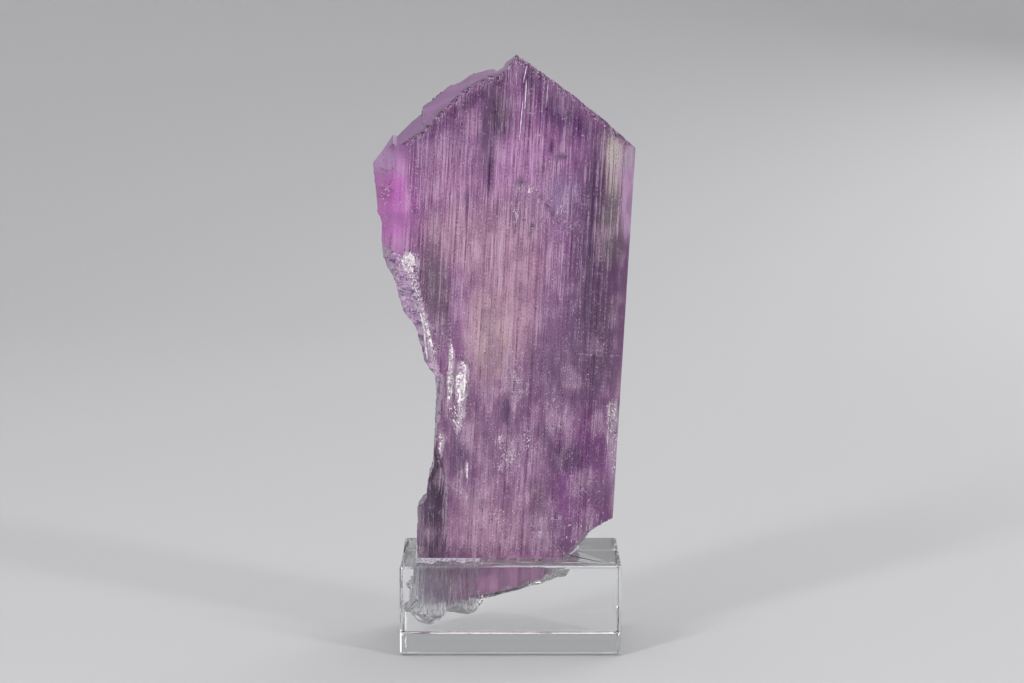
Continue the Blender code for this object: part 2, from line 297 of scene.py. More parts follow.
def press_depth(kind, place):
    """How far a point is pressed in from the plain solid, on each kind of surface."""
    across = (place - LEAN_CENTRE).dot(ACROSS)
    along = (place - LEAN_CENTRE).dot(ALONG)
    if kind == BROAD:
        return groove_depth(place, across, along)
    if kind in (PRISM, LEDGE):
        return PRISM_DEPTH * ripple(across + place.y, along, 5.3, *PRISM_GROOVES)
    if kind == TIP:
        from_edge = HALF_THICKNESS - abs(place.y)
        strength = 1.0 if across < TEETH_LEFT_OF else TEETH_ON_THE_RIGHT
        edge = max(0.0, 1 - from_edge / TEETH_REACH) * strength
        teeth = ripple(across, place.y, 1.3, *TEETH)
        return TIP_DEPTH * ripple(across, place.y, 2.3, *TIP_WAVES) + TEETH_DEPTH * edge * teeth
    splinter = noise.noise(Vector([part / size for part, size in zip(place, SPLINTERS)]))
    grain = noise.noise(place / BREAK_GRAIN)
    return BREAK_DEPTH * min(max(0.5 + 0.8 * splinter + 0.35 * grain, 0.0), 1.0)


# How near each point of a broad face is to the tip's edge, for the etched rim below it
RIM_REACH = 0.0042
COLUMN_WIDTH = 0.0007
OFF_THE_FACE = 0.0001


def column_of(vert):
    """The narrow upright column that a point of a broad face is in, and on which face."""
    return round((vert.co - LEAN_CENTRE).dot(ACROSS) / COLUMN_WIDTH), vert.co.y > 0


column_tops = {}
for vert in stone.verts:
    if abs(vert.co.y) > HALF_THICKNESS - OFF_THE_FACE:
        column = column_of(vert)
        along = (vert.co - LEAN_CENTRE).dot(ALONG)
        column_tops[column] = max(column_tops.get(column, -1.0), along)
rim_layer = stone.verts.layers.float.new("rim")
for vert in stone.verts:
    if abs(vert.co.y) > HALF_THICKNESS - OFF_THE_FACE and vert.co.z > TIP_LOW:
        below = column_tops[column_of(vert)] - (vert.co - LEAN_CENTRE).dot(ALONG)
        vert[rim_layer] = max(0.0, 1 - below / RIM_REACH)
    elif any(face[kind_layer] == TIP for face in vert.link_faces):
        vert[rim_layer] = max(0.0, 1 - (HALF_THICKNESS - abs(vert.co.y)) / RIM_REACH)

moves = {}
for vert in stone.verts:
    normals = {}
    for face in vert.link_faces:
        kind = face[kind_layer]
        normals[kind] = normals.get(kind, Vector()) + face.normal * face.calc_area()
    move = Vector()
    for kind, normal in normals.items():
        if kind == BROAD:
            normal = Vector((0, math.copysign(1, vert.co.y), 0))
        move -= normal.normalized() * press_depth(kind, vert.co)
    moves[vert] = move
for vert, move in moves.items():
    vert.co += move

# What the material reads from the mesh: how lined each face is, where it is broken, and the broken edges,
# which get painted glints
LINED = {BROAD: 1.0, PRISM: 0.3, TIP: 0.0, BROKEN: 0.0, LEDGE: 2.2}
LINED_IN_BLOCK = 0.25
BLOCK_TOP = 0.0252
lined_layer = stone.faces.layers.float.new("lined")
broken_layer = stone.faces.layers.float.new("broken")
tip_layer = stone.faces.layers.float.new("tip")
for face in stone.faces:
    sunk = face.calc_center_median().z < BLOCK_TOP
    face[lined_layer] = LINED[face[kind_layer]] * (LINED_IN_BLOCK if sunk else 1.0)
    face[broken_layer] = float(face[kind_layer] == BROKEN)
    face[tip_layer] = float(face[kind_layer] == TIP)
edge_glint_layer = stone.verts.layers.float.new("edge")
for vert in stone.verts:
    kinds = {face[kind_layer] for face in vert.link_faces}
    vert[edge_glint_layer] = float(BROAD in kinds and BROKEN in kinds)
stone_mesh = bpy.data.meshes.new("crystal_surface")
stone.to_mesh(stone_mesh)
stone.free()
crystal = bpy.data.objects.new("crystal_surface", stone_mesh)
bpy.context.scene.collection.objects.link(crystal)
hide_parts("crystal")
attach(crystal, "root")

# Colour zones of the body: name, middle and half size as x and z, lean in degrees, softness, colour
# and share. Most are the kunzite's own colour; the ones marked are painted light or shade.
BODY_COLOUR = (0.44, 0.17, 0.43)
ZONES = [
    # Painted shade: the whole lower half is painted darker, against the bright floor seen through it
    ("lower half", (0.0000, 0.0250), (0.0900, 0.0560), 0, 0.3, (0.34, 0.16, 0.31), 1.0),
    ("violet under the left rim", (-0.0170, 0.1420), (0.0080, 0.0070), 35, 0.6, (0.52, 0.30, 0.56), 0.8),
    ("rosy upper left", (-0.0150, 0.1320), (0.0060, 0.0080), 0, 0.6, (0.74, 0.40, 0.66), 0.8),
    ("rosy upper middle", (0.0046, 0.1360), (0.0070, 0.0100), 0, 0.6, (0.86, 0.48, 0.82), 0.9),
    ("warm upper left", (-0.0120, 0.1160), (0.0100, 0.0090), 0, 0.6, (0.86, 0.58, 0.64), 0.8),
    ("pale heart", (0.0010, 0.1020), (0.0110, 0.0240), 3, 0.5, (0.76, 0.49, 0.58), 0.9),
    ("cream heart", (-0.0040, 0.0880), (0.0065, 0.0110), 3, 0.6, (0.86, 0.68, 0.62), 0.8),
    ("bluish shoulder", (0.0186, 0.1274), (0.0070, 0.0060), 0, 0.6, (0.46, 0.32, 0.58), 0.8),
    # Painted shade: the right side is painted darker where its back turns away as a bevel, with a dark line
    # along the bevel's edge
    ("dusky right side", (0.0265, 0.1060), (0.0085, 0.0360), 3, 0.4, (0.14, 0.03, 0.15), 0.95),
    ("dark band in the right side", (0.0245, 0.1180), (0.0014, 0.0260), 3, 0.6, (0.12, 0.08, 0.14), 0.8),
    ("violet right middle", (0.0160, 0.0850), (0.0060, 0.0200), 3, 0.5, (0.30, 0.15, 0.32), 0.8),
    # Painted shade, as above, lower down the right side
    ("dusky right middle", (0.0240, 0.0850), (0.0060, 0.0160), 3, 0.6, (0.14, 0.08, 0.16), 0.7),
    ("smoky top", (-0.0016, 0.1510), (0.0036, 0.0062), 0, 0.7, (0.06, 0.03, 0.07), 0.95),
    ("smoky streak below it", (-0.0046, 0.1420), (0.0020, 0.0090), 0, 0.7, (0.22, 0.15, 0.24), 0.8),
    ("purple under the tip", (0.0078, 0.1608), (0.0028, 0.0040), 20, 0.6, (0.13, 0.00, 0.16), 1.0),
    ("purple along the right rim", (0.0175, 0.1490), (0.0098, 0.0036), 38, 0.6, (0.14, 0.00, 0.19), 1.0),
    ("dark magenta left rim", (-0.0070, 0.1555), (0.0015, 0.0116), 55, 0.6, (0.12, 0.00, 0.13), 0.95),
    ("dark magenta lower left rim", (-0.0195, 0.1450), (0.0012, 0.0060), 48, 0.6, (0.22, 0.04, 0.24), 0.8),
    # Painted reflection: the cream strip and its lower end stand in for light reflected inside off the back
    # bevel
    ("cream strip", (0.0306, 0.1385), (0.0024, 0.0082), 0, 0.6, (1.0, 0.96, 0.78), 1.0),
    ("cream strip's lower end", (0.0304, 0.1300), (0.0018, 0.0056), 0, 0.6, (0.86, 0.84, 0.66), 0.8),
    ("green grey below it", (0.0300, 0.1190), (0.0034, 0.0090), 3, 0.6, (0.26, 0.25, 0.21), 0.9),
    # Partly painted light: the crystal's own pink, painted brighter for the light this side face catches
    ("pink edge", (0.0352, 0.1265), (0.0021, 0.0110), 3, 0.3, (1.0, 0.66, 1.0), 1.0),
    ("pale top of the pink edge", (0.0352, 0.1385), (0.0014, 0.0036), 3, 0.5, (1.0, 0.88, 1.0), 0.9),
    # Partly painted light: the crystal's own magenta, painted brighter for the light this side face catches
    ("pink flank", (-0.0325, 0.1260), (0.0075, 0.0150), -5, 0.35, (1.0, 0.40, 0.95), 1.0),
    # Painted light: the pale band along the left shoulder, which catches the light from above
    ("pale top of the flank", (-0.0335, 0.1370), (0.0052, 0.0042), -35, 0.7, (0.86, 0.66, 0.94), 0.75),
    ("deep pink in the flank", (-0.0310, 0.1285), (0.0028, 0.0050), 0, 0.7, (0.90, 0.20, 0.82), 0.8),
    ("grey patch", (-0.0190, 0.1010), (0.0042, 0.0130), -8, 0.5, (0.18, 0.14, 0.15), 0.85),
    ("dusky lower middle", (0.0150, 0.0800), (0.0100, 0.0090), 10, 0.7, (0.22, 0.11, 0.22), 0.7),
    ("pale lilac below the chips", (-0.0080, 0.0600), (0.0060, 0.0060), 0, 0.7, (0.60, 0.40, 0.54), 0.6),
    ("pale veil in the lower middle", (0.0070, 0.0500), (0.0060, 0.0090), 5, 0.8, (0.62, 0.40, 0.58), 0.6),
    ("violet foot", (0.0240, 0.0470), (0.0100, 0.0180), 3, 0.5, (0.26, 0.03, 0.28), 0.9),
    ("dark spot in the foot", (0.0164, 0.0540), (0.0040, 0.0040), 0, 0.6, (0.06, 0.01, 0.09), 0.95),
    ("dark spot beside it", (0.0204, 0.0530), (0.0018, 0.0034), 0, 0.6, (0.06, 0.01, 0.09), 0.9),
    ("dark spot above it", (0.0120, 0.0605), (0.0016, 0.0030), 15, 0.6, (0.12, 0.05, 0.15), 0.8),
    ("brown spot", (0.0095, 0.0415), (0.0020, 0.0046), -10, 0.7, (0.20, 0.11, 0.17), 0.9),
    ("window", (0.0006, 0.0665), (0.0014, 0.0038), 3, 0.3, (0.10, 0.05, 0.14), 1.0),
    ("window's pale side", (0.0028, 0.0665), (0.0006, 0.0036), 3, 0.5, (0.86, 0.66, 0.84), 0.8),
    ("dark left streaks", (-0.0124, 0.0540), (0.0022, 0.0070), 0, 0.6, (0.16, 0.08, 0.18), 0.9),
    ("pink foot", (-0.0050, 0.0340), (0.0120, 0.0080), 0, 0.6, (0.66, 0.40, 0.53), 0.9),
    ("pink foot inside the block", (0.0040, 0.0170), (0.0150, 0.0070), 0, 0.5, (0.78, 0.40, 0.66), 0.95),
    ("pale patch above the block", (-0.0080, 0.0420), (0.0040, 0.0050), 0, 0.7, (0.70, 0.50, 0.64), 0.6),
    # Painted shade: the clear ledge is painted near black for the dark seen through it, darkest at its upper
    # end and middle
    ("clear ledge", (-0.0215, 0.0400), (0.0044, 0.0180), 0, 0.2, (0.03, 0.01, 0.035), 0.95),
    ("ledge's dark upper end", (-0.0188, 0.0480), (0.0022, 0.0070), 0, 0.5, (0.01, 0.00, 0.015), 0.95),
    ("dark middle of the ledge", (-0.0195, 0.0375), (0.0030, 0.0042), 0, 0.5, (0.01, 0.00, 0.015), 0.9),
    ("paler foot of the ledge", (-0.0215, 0.0290), (0.0044, 0.0044), 0, 0.6, (0.24, 0.16, 0.23), 0.8),
    ("ledge's pale outer edge", (-0.0240, 0.0370), (0.0010, 0.0080), 0, 0.6, (0.50, 0.40, 0.50), 0.7),
    # Painted highlight: the lit line along the body's edge beside the ledge
    ("ledge's pale inner edge", (-0.0164, 0.0400), (0.0006, 0.0150), 0, 0.5, (0.62, 0.50, 0.60), 0.8),
    ("lilac right edge", (0.0318, 0.0540), (0.0022, 0.0110), 3, 0.6, (0.90, 0.60, 0.92), 0.8),
]
ZONE_WAVES = 0.18
WAVE_SIZE = 0.0016

# Dark places on the front, laid over the lines: painted shade in the scratches, etch pits and dark spots and
# along the dark line of the right side, and the crystal's own smoky and purple places near the tip. Middle
# and half size as x and z, lean in degrees and how dark
SHADED_PITS_AND_SMOKY_PLACES = [
    ((0.0040, 0.1270), (0.00055, 0.0036), 12, 1.0),
    ((0.0031, 0.1205), (0.00060, 0.0036), 0, 1.0),
    ((0.0054, 0.1305), (0.0022, 0.00070), 20, 1.0),
    ((0.0126, 0.1245), (0.00055, 0.0032), -38, 1.0),
    ((0.0150, 0.1206), (0.00055, 0.0028), -42, 1.0),
    ((0.0080, 0.1186), (0.00060, 0.0020), 25, 1.0),
    ((0.0133, 0.1412), (0.00070, 0.0018), 10, 1.0),
    ((0.0163, 0.1387), (0.0020, 0.00090), 30, 0.8),
    ((-0.0040, 0.1330), (0.00045, 0.0060), 3, 1.0),
    ((-0.0102, 0.1240), (0.00040, 0.0060), 3, 0.8),
    ((0.0247, 0.1230), (0.00050, 0.0210), 3, 1.0),
    ((0.0229, 0.0990), (0.00040, 0.0090), 3, 1.0),
    ((0.0080, 0.1612), (0.0032, 0.0044), 20, 0.5),
    ((0.0185, 0.1500), (0.0110, 0.0034), 37, 0.4),
    ((-0.0016, 0.1500), (0.0034, 0.0070), 0, 0.35),
    ((-0.0070, 0.1555), (0.0014, 0.0116), 55, 0.35),
]

# Crushed places on the front, where the crystal is white with fine cracks: middle and half size as x
# and z, lean in degrees and how crushed
CRUSHED = [
    ((-0.0264, 0.1085), (0.0026, 0.0034), 0, 1.0),
    ((-0.0246, 0.1010), (0.0016, 0.0070), -14, 0.6),
    ((-0.0214, 0.0870), (0.0013, 0.0090), -16, 0.9),
    ((-0.0150, 0.0785), (0.0010, 0.0090), 3, 1.0),
    ((-0.0119, 0.0740), (0.0020, 0.0080), 3, 1.0),
    ((-0.0135, 0.0660), (0.0030, 0.0034), 0, 0.6),
    ((-0.0190, 0.0800), (0.0016, 0.0080), -10, 0.5),
    ((-0.0178, 0.0575), (0.0010, 0.0034), 0, 0.9),
    ((-0.0103, 0.0500), (0.0004, 0.0030), 2, 1.0),
    ((0.0308, 0.0640), (0.0018, 0.0070), 3, 1.0),
    ((0.0314, 0.0550), (0.0016, 0.0060), 3, 0.6),
    ((0.0046, 0.0740), (0.0034, 0.0036), 30, 0.5),
    ((0.0010, 0.0540), (0.0034, 0.0040), -30, 0.5),
    ((0.0160, 0.0640), (0.0008, 0.0050), 25, 0.5),
    ((-0.0060, 0.0345), (0.0060, 0.0050), 0, 0.3),
    ((-0.0010, 0.0330), (0.0006, 0.0060), 0, 0.9),
    ((0.0150, 0.0345), (0.0100, 0.0050), 0, 0.25),
    ((0.0060, 0.1290), (0.0030, 0.0014), 30, 0.6),
    ((0.0036, 0.1230), (0.0006, 0.0050), 3, 0.5),
]

# Where healed cracks show: middle and half size as x and z, lean in degrees and how clearly
VEINED = [
    ((0.0034, 0.0755), (0.0034, 0.0050), 0, 1.0),
    ((0.0154, 0.0675), (0.0030, 0.0060), -35, 0.9),
    ((0.0010, 0.0555), (0.0044, 0.0050), -20, 1.0),
    ((0.0067, 0.0614), (0.0020, 0.0030), 0, 1.0),
    ((-0.0130, 0.0445), (0.0014, 0.0050), -45, 1.0),
    ((-0.0055, 0.0345), (0.0050, 0.0050), 0, 0.8),
    ((0.0100, 0.0345), (0.0070, 0.0040), 0, 0.8),
    ((0.0240, 0.0440), (0.0050, 0.0070), 30, 0.6),
    ((0.0080, 0.1240), (0.0070, 0.0060), 0, 0.8),
    ((0.0160, 0.1190), (0.0060, 0.0040), 0, 0.6),
    ((-0.0180, 0.0880), (0.0030, 0.0060), 0, 0.8),
    ((-0.0325, 0.1300), (0.0036, 0.0070), 0, 0.35),
]


def oval_share(points, middle, half_size, lean, softness, waves):
    """How far each point is inside a soft oval as seen from the front, from 0 to 1."""
    turn = math.radians(lean)
    x = points[:, 0] - middle[0]
    z = points[:, 2] - middle[1]
    sideways = (x * math.cos(turn) - z * math.sin(turn)) / half_size[0]
    upright = (x * math.sin(turn) + z * math.cos(turn)) / half_size[1]
    away = np.hypot(sideways, upright) + waves
    share = np.clip((1 + softness - away) / (2 * softness), 0, 1)
    return share * share * (3 - 2 * share)


points = np.empty(len(stone_mesh.vertices) * 3)
stone_mesh.vertices.foreach_get("co", points)
points = points.reshape(-1, 3)
waves = np.array([noise.noise(Vector((x, y, z / 2)) / WAVE_SIZE) for x, y, z in points])
colours = np.ones((len(points), 4))
colours[:, :3] = BODY_COLOUR
for name, middle, half_size, lean, softness, tint, share in ZONES:
    share = share * oval_share(points, middle, half_size, lean, softness, ZONE_WAVES * waves)[:, None]
    colours[:, :3] = colours[:, :3] * (1 - share) + np.array(tint) * share
stone_mesh.attributes.new("zone", "FLOAT_COLOR", "POINT").data.foreach_set("color", colours.ravel())


def paint_front(name, places, softness, waviness):
    """Keeps how strongly each point of the front is inside any of the places, under a name."""
    strongest = np.zeros(len(points))
    for middle, half_size, lean, strength in places:
        share = oval_share(points, middle, half_size, lean, softness, waviness * waves)
        strongest = np.maximum(strongest, strength * share)
    strongest *= points[:, 1] < 0
    stone_mesh.attributes.new(name, "FLOAT", "POINT").data.foreach_set("value", strongest)


paint_front("crushed", CRUSHED, 0.4, 0.9)
paint_front("veins", VEINED, 0.5, 0.5)
paint_front("pit_shade_and_smoke", SHADED_PITS_AND_SMOKY_PLACES, 0.5, 0.2)


def add_node(tree, kind, inputs=None, **properties):
    """A shader node. Each input is given a value, or another node's output to link to."""
    made = tree.nodes.new("ShaderNode" + kind)
    for name, value in properties.items():
        setattr(made, name, value)
    for name, value in (inputs or {}).items():
        if isinstance(value, bpy.types.NodeSocket):
            tree.links.new(value, made.inputs[name])
        else:
            made.inputs[name].default_value = value
    return made


def arithmetic(tree, operation, first, second, limit=False):
    """One sum of two numbers or outputs."""
    return add_node(tree, "Math", {0: first, 1: second}, operation=operation, use_clamp=limit).outputs[0]


def times(tree, first, second):
    return arithmetic(tree, "MULTIPLY", first, second)


def plus(tree, first, second):
    return arithmetic(tree, "ADD", first, second)


def apart(tree, value, middle):
    """How far a value is from a middle one, on either side."""
    return arithmetic(tree, "ABSOLUTE", arithmetic(tree, "SUBTRACT", value, middle), 0.0)


def remap(tree, value, low, high, new_low=0.0, new_high=1.0):
    """The value moved smoothly from one range to another."""
    inputs = {"Value": value, "From Min": low, "From Max": high, "To Min": new_low, "To Max": new_high}
    return add_node(tree, "MapRange", inputs, interpolation_type="SMOOTHSTEP").outputs[0]


def blend(tree, share, first, second):
    """Two colours mixed by a share."""
    mixer = add_node(tree, "Mix", data_type="RGBA")
    for socket, value in ((mixer.inputs[0], share), (mixer.inputs[6], first), (mixer.inputs[7], second)):
        if isinstance(value, bpy.types.NodeSocket):
            tree.links.new(value, socket)
        else:
            socket.default_value = value
    return mixer.outputs[2]


def new_group(name, inputs, outputs):
    """An empty node group with its sockets, and its input and output nodes."""
    group = bpy.data.node_groups.new(name, "ShaderNodeTree")
    for label, kind in inputs:
        group.interface.new_socket(label, in_out="INPUT", socket_type="NodeSocket" + kind)
    for label, kind in outputs:
        group.interface.new_socket(label, in_out="OUTPUT", socket_type="NodeSocket" + kind)
    return group, group.nodes.new("NodeGroupInput").outputs, group.nodes.new("NodeGroupOutput").inputs


streaks, given, result = new_group(
    "streaks",
    [("Place", "Vector"), ("Width", "Float"), ("Length", "Float"), ("Seed", "Float")],
    [("Value", "Float")],
)
scale_across = arithmetic(streaks, "DIVIDE", 1.0, given["Width"])
scale_along = arithmetic(streaks, "DIVIDE", 1.0, given["Length"])
scales = add_node(streaks, "CombineXYZ", {"X": scale_across, "Y": scale_along}).outputs[0]
shift = add_node(streaks, "CombineXYZ", {"X": given["Seed"], "Y": given["Seed"]}).outputs[0]
moved = add_node(streaks, "VectorMath", {0: given["Place"], 1: scales, 2: shift}, operation="MULTIPLY_ADD")
pattern = add_node(
    streaks, "TexNoise", {"Vector": moved.outputs[0], "Scale": 1.0, "Detail": 1.0}, noise_dimensions="2D"
)
streaks.links.new(pattern.outputs[0], result["Value"])


def use_group(tree, group, **inputs):
    """A node group placed in a material, with its inputs given by name."""
    placed = add_node(tree, "Group", node_tree=group)
    for name, value in inputs.items():
        socket = placed.inputs[name.replace("_", " ")]
        if isinstance(value, bpy.types.NodeSocket):
            tree.links.new(value, socket)
        else:
            socket.default_value = value
    return placed.outputs


def attribute(tree, name, output="Fac"):
    """A value or colour that the mesh carries under a name."""
    return add_node(tree, "Attribute", attribute_name=name).outputs[output]


# Colours laid over the zones, among them painted highlights, glints and shade, and the kunzite's own values
DUSK = (0.20, 0.09, 0.23, 1)
VEIL = (0.92, 0.66, 0.84, 1)
PAINTED_HIGHLIGHT_LINE = (1.0, 0.84, 1.0, 1)
PAINTED_SHADE_LINE = (0.10, 0.03, 0.12, 1)
PIT_SHADE_AND_SMOKE_COLOUR = (0.07, 0.00, 0.10, 1)
FRESH_BREAK = (0.88, 0.84, 0.92, 1)
DARK_SPLINTER = (0.19, 0.12, 0.29, 1)
TIP_PAINTED_TOP_LIGHT = (0.62, 0.40, 0.74, 1)
RIM_SHADE = (0.22, 0.03, 0.24, 1)
RIM_LINE = (0.06, 0.00, 0.07, 1)
RIM_PAINTED_GLINT = (1.0, 0.80, 1.0, 1)
HEALED_HAZE = (0.90, 0.72, 0.88, 1)
HEALED_SHADOW = (0.10, 0.03, 0.13, 1)
HEALED_HIGHLIGHT = (1.0, 0.88, 0.98, 1)
MILKY = (0.98, 0.88, 0.90, 1)
WHITE = (1, 1, 1, 1)
CRACK_HEIGHT = 0.0846
RELIEF = 0.0001
KUNZITE_IOR = 1.66
KUNZITE_CLEARNESS = 0.64
KUNZITE_ABSORPTION = (0.80, 0.20, 0.77, 1)
KUNZITE_DENSITY = 36.0

kunzite = bpy.data.materials.new("kunzite")
kunzite.use_nodes = True
tree = kunzite.node_tree
position = add_node(tree, "TexCoord").outputs["Object"]
zone = attribute(tree, "zone", "Color")
broken = attribute(tree, "broken")
tip = attribute(tree, "tip")
rim = attribute(tree, "rim")
lined = attribute(tree, "lined")
veins = attribute(tree, "veins")
edge = attribute(tree, "edge")
crush = attribute(tree, "crushed")
pit_shade_and_smoke_share = attribute(tree, "pit_shade_and_smoke")

# The place on the surface: across the crystal, with the depth added so that the sides are streaked too, and
# along it
ROUND_THE_SIDE = Vector((0, 0.7, 0))
across = add_node(tree, "VectorMath", {0: position, 1: ACROSS + ROUND_THE_SIDE}, operation="DOT_PRODUCT")
across = across.outputs["Value"]
along = add_node(tree, "VectorMath", {0: position, 1: ALONG}, operation="DOT_PRODUCT").outputs["Value"]
place = add_node(tree, "CombineXYZ", {"X": across, "Y": along}).outputs[0]

# Striations seen from outside and inside: fine lines along the crystal, with a fine grain between them
grained = arithmetic(tree, "MAXIMUM", broken, tip)
fine = use_group(tree, streaks, Place=place, Width=0.00020, Length=0.0110, Seed=11.3)["Value"]
medium = use_group(tree, streaks, Place=place, Width=0.00042, Length=0.0400, Seed=27.9)["Value"]
grain = use_group(tree, streaks, Place=place, Width=0.00021, Length=0.00060, Seed=43.1)["Value"]
mottle = use_group(tree, streaks, Place=place, Width=0.00130, Length=0.0040, Seed=61.7)["Value"]
clouds = use_group(tree, streaks, Place=place, Width=0.0056, Length=0.0090, Seed=83.3)["Value"]
upper = remap(tree, along, 0.075, 0.125, 0.48, 1.0)
line_share = times(tree, upper, remap(tree, clouds, 0.35, 0.60, 0.5, 1.2))
line_share = times(tree, line_share, lined)
lines = times(tree, fine, 0.58)
lines = plus(tree, lines, times(tree, medium, 0.42))
lines = times(tree, arithmetic(tree, "SUBTRACT", lines, 0.5), line_share)
low_half = remap(tree, along, 0.100, 0.060)
grain_share = remap(tree, low_half, 0.0, 1.0, 0.42, 0.34)
patch_share = remap(tree, low_half, 0.0, 1.0, 0.16, 0.24)
specks = times(tree, arithmetic(tree, "SUBTRACT", grain, 0.5), grain_share)
patchy = times(tree, arithmetic(tree, "SUBTRACT", mottle, 0.5), patch_share)
specks = plus(tree, specks, patchy)
specks = times(tree, specks, arithmetic(tree, "ADD", lined, broken, True))
tone = plus(tree, lines, specks)
# Painted shade and painted highlights: the dark and light lines stand in for the light the striation grooves
# lose and catch
dark = remap(tree, tone, 0.01, -0.16)
light = remap(tree, tone, 0.02, 0.17)
cloudy = remap(tree, low_half, 0.0, 1.0, 0.36, 0.46)
dusk = times(tree, remap(tree, clouds, 0.52, 0.30), cloudy)
veil = times(tree, remap(tree, clouds, 0.48, 0.72), cloudy)
colour = blend(tree, dusk, zone, DUSK)
colour = blend(tree, veil, colour, VEIL)
# The painted highlight colour for the light lines
pale = blend(tree, 0.66, colour, PAINTED_HIGHLIGHT_LINE)
colour = blend(tree, times(tree, dark, 0.75), colour, PAINTED_SHADE_LINE)
colour = blend(tree, times(tree, light, 0.85), colour, pale)
# Painted shade in the scratches, pits and dark spots, and the smoky and purple colour near the tip
colour = blend(tree, pit_shade_and_smoke_share, colour, PIT_SHADE_AND_SMOKE_COLOUR)

# Breaks are paler, with dark violet splinters between
splinters = use_group(tree, streaks, Place=place, Width=0.00045, Length=0.0024, Seed=7.1)["Value"]
colour = blend(tree, times(tree, broken, 0.60), colour, FRESH_BREAK)
splintered = times(tree, plus(tree, grain, splinters), 0.5)
splinter_dark = times(tree, remap(tree, splintered, 0.49, 0.40), broken)
colour = blend(tree, splinter_dark, colour, DARK_SPLINTER)

# The tip's own faces are smooth, and painted paler and greyer: painted light from above that they catch
colour = blend(tree, tip, colour, blend(tree, 0.40, colour, TIP_PAINTED_TOP_LIGHT))

# The etched rim below the tip: a wavering dark purple line, and small painted glints beside it
rim_place = plus(tree, rim, times(tree, mottle, 0.9))
rim_line = apart(tree, rim_place, 1.30)
rim_dark = times(tree, remap(tree, rim_line, 0.34, 0.14), remap(tree, rim, 0.3, 0.5))
rim_shade = times(tree, remap(tree, rim, 0.20, 0.60), 0.70)
rim_painted_glints = times(tree, remap(tree, rim, 0.30, 0.60), remap(tree, grain, 0.53, 0.59))
colour = blend(tree, rim_shade, colour, RIM_SHADE)
colour = blend(tree, rim_dark, colour, RIM_LINE)
colour = blend(tree, times(tree, rim_painted_glints, 0.8), colour, RIM_PAINTED_GLINT)

# Healed cracks in the lower half: curving hairlines, a painted highlight with a painted shadow on one side
# for their relief, and one straight across as a painted highlight
healed = use_group(tree, streaks, Place=place, Width=0.0019, Length=0.0028, Seed=91.7)["Value"]
hairline = apart(tree, healed, 0.50)
shadow = apart(tree, healed, 0.535)
from_crack = arithmetic(tree, "SUBTRACT", along, CRACK_HEIGHT)
from_crack = plus(tree, from_crack, times(tree, clouds, 0.0012))
across_line = remap(tree, arithmetic(tree, "ABSOLUTE", from_crack, 0.0), 0.00028, 0.00010)
across_line = times(tree, across_line, remap(tree, mottle, 0.42, 0.56))
across_line = times(tree, across_line, remap(tree, across, 0.004, 0.012))
vein_highlight = times(tree, remap(tree, hairline, 0.024, 0.010), veins)
vein_highlight = arithmetic(tree, "MAXIMUM", vein_highlight, times(tree, across_line, 0.5))
vein_dark = times(tree, remap(tree, shadow, 0.032, 0.012), veins)
colour = blend(tree, times(tree, veins, 0.16), colour, HEALED_HAZE)
colour = blend(tree, times(tree, vein_dark, 0.8), colour, HEALED_SHADOW)
colour = blend(tree, times(tree, vein_highlight, 0.75), colour, HEALED_HIGHLIGHT)

# White grains, dense in the crushed places, and painted glints along broken edges and in clusters over the
# lower half
crush = times(tree, crush, remap(tree, medium, 0.42, 0.54, 0.45, 1.0))
lower = remap(tree, along, 0.085, 0.045)
lower = times(tree, lower, remap(tree, clouds, 0.50, 0.64, 0.0, 0.05))
glints = plus(tree, splintered, times(tree, crush, 0.21))
# Painted glints along the broken edges
glints = plus(tree, glints, times(tree, edge, 0.20))
glints = plus(tree, glints, times(tree, broken, 0.09))
white = remap(tree, plus(tree, glints, lower), 0.66, 0.72)
milky = remap(tree, splintered, 0.42, 0.54, 0.40, 0.95)
milky = times(tree, remap(tree, crush, 0.30, 0.90), milky)
colour = blend(tree, milky, colour, MILKY)
white = times(tree, white, remap(tree, crush, 0.2, 0.6, 0.6, 1.0))
colour = blend(tree, white, colour, WHITE)

# The finish: glossy between the lines, duller and grainy on the tip, the breaks and the crushed places
roughness = remap(tree, fine, 0.3, 0.7, 0.10, 0.22)
roughness = plus(tree, roughness, times(tree, tip, 0.25))
rough_share = plus(tree, grained, times(tree, crush, 3.0))
rough_share = plus(tree, rough_share, rim)
relief = times(tree, fine, arithmetic(tree, "SUBTRACT", 1.0, grained))
relief = plus(tree, relief, times(tree, grain, rough_share))
bump = add_node(tree, "Bump", {"Height": relief, "Strength": 0.7, "Distance": RELIEF})

glass = tree.nodes["Principled BSDF"]
glass.inputs["IOR"].default_value = KUNZITE_IOR
glass.inputs["Transmission Weight"].default_value = KUNZITE_CLEARNESS
tree.links.new(roughness, glass.inputs["Roughness"])
tree.links.new(colour, glass.inputs["Base Color"])
tree.links.new(bump.outputs[0], glass.inputs["Normal"])
absorb = tree.nodes.new("ShaderNodeVolumeAbsorption")
absorb.inputs["Color"].default_value = KUNZITE_ABSORPTION
absorb.inputs["Density"].default_value = KUNZITE_DENSITY
tree.links.new(absorb.outputs["Volume"], tree.nodes["Material Output"].inputs["Volume"])
crystal.data.materials.append(kunzite)

# Crushed grains. Splinters of the same kunzite, white with fine cracks, that still sit in the chips and
# along the broken edges where the crystal was knocked. They are part of the crystal's surface.
SMALLEST_GRAIN = 0.00009
LOWEST_GRAIN = 0.0265
BEFORE_THE_FRONT = -0.05
GRAIN_ROUNDNESS = (0.75, 1.1)
SLIVER_ROUNDNESS = (0.8, 1.1)

